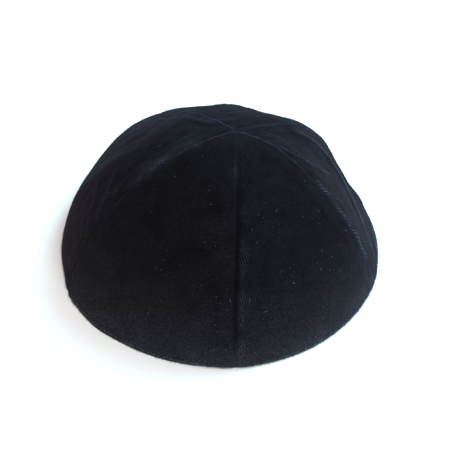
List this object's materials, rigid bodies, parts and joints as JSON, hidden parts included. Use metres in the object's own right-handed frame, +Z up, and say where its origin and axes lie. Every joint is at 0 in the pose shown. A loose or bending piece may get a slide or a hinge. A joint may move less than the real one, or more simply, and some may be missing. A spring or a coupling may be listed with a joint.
{
  "type": "kippah skullcap",
  "caption": "Soft domed skullcap sewn from triangular velvet gores that meet at the crown, with a turned-in hem, worn on the back of the head.",
  "frame": {"origin": "on the table, under the middle of the cap's outline", "axes": "+Z up out of the crown, -Y towards the foot of the front seam, +X towards the wearer's left when the front seam is worn forward"},
  "size_m": [0.1582, 0.1546, 0.0608],
  "materials": {
    "velvet": "short dense pile, matt, with a faint cold sheen at grazing angles"
  },
  "bodies": {
    "root": {"front_right_gore": "velvet", "right_gore": "velvet", "back_right_gore": "velvet", "back_left_gore": "velvet", "left_gore": "velvet", "front_left_gore": "velvet"}
  },
  "joints": []
}
